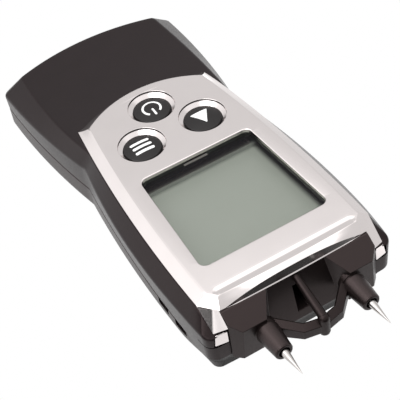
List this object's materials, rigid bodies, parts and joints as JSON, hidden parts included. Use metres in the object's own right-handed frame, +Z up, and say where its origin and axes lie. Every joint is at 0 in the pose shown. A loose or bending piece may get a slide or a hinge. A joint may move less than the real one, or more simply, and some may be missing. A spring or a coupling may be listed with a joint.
{
  "type": "moisture meter",
  "caption": "Pocket moisture meter with a pair of measuring pins, a guard bow, a display window, round keys and a sliding battery cover.",
  "frame": {"origin": "on the flat back, under the middle of the whole length and width", "axes": "+X to the right across the width, +Y along the meter towards the pin points, +Z up out of the display"},
  "size_m": [0.046, 0.1162, 0.02],
  "materials": {
    "lower_case": "fine matt black moulding",
    "upper_case": "fine matt plum-black moulding",
    "silver": "satin silver plated plastic",
    "frame_black": "black plastic",
    "lens": "clear plastic window",
    "display": "blank grey-green display",
    "strip": "layered silicone",
    "board": "green solder mask",
    "chip": "black epoxy",
    "switch": "black plastic",
    "key": "soft black key cap",
    "plunger": "ivory plastic",
    "pin_black": "fine matt black-brown moulding",
    "steel": "polished steel",
    "bronze": "spring bronze",
    "cover": "fine matt black moulding",
    "cell": "printed metal sleeve, bare of marks",
    "contact": "nickel-plated spring steel",
    "screw": "zinc-plated steel"
  },
  "bodies": {
    "case": {"lower_shell": "lower_case", "upper_shell": "upper_case", "bezel": "silver", "corner_trims": "silver", "window_frame": "frame_black", "window_lens": "lens", "lcd_glass": "display", "connector_strips": "strip", "circuit_board": "board", "controller_chip": "chip", "tactile_switches": "switch", "pin_block": "pin_black", "left_pin": "steel", "right_pin": "steel", "pin_contacts": "bronze", "left_cell": "cell", "right_cell": "cell", "cell_springs": "contact", "cell_link": "contact", "positive_contact": "contact", "negative_contact": "contact", "case_screws": "screw", "board_screws": "screw"},
    "power_key": {"power_button": "key", "power_plunger": "plunger"},
    "up_key": {"up_button": "key", "up_plunger": "plunger"},
    "mode_key": {"mode_button": "key", "mode_plunger": "plunger"},
    "cover": {"battery_cover": "cover"}
  },
  "joints": [
    {"name": "power_press", "type": "slide", "parent": "case", "child": "power_key", "axis": [0, 0, -1], "range_m": [0, 0.0005], "stiffness_N_per_m": 4000},
    {"name": "up_press", "type": "slide", "parent": "case", "child": "up_key", "axis": [0, 0, -1], "range_m": [0, 0.0005], "stiffness_N_per_m": 4000},
    {"name": "mode_press", "type": "slide", "parent": "case", "child": "mode_key", "axis": [0, 0, -1], "range_m": [0, 0.0005], "stiffness_N_per_m": 4000},
    {"name": "cover_slide", "type": "slide", "parent": "case", "child": "cover", "axis": [0, -1, 0], "range_m": [0, 0.059]}
  ]
}
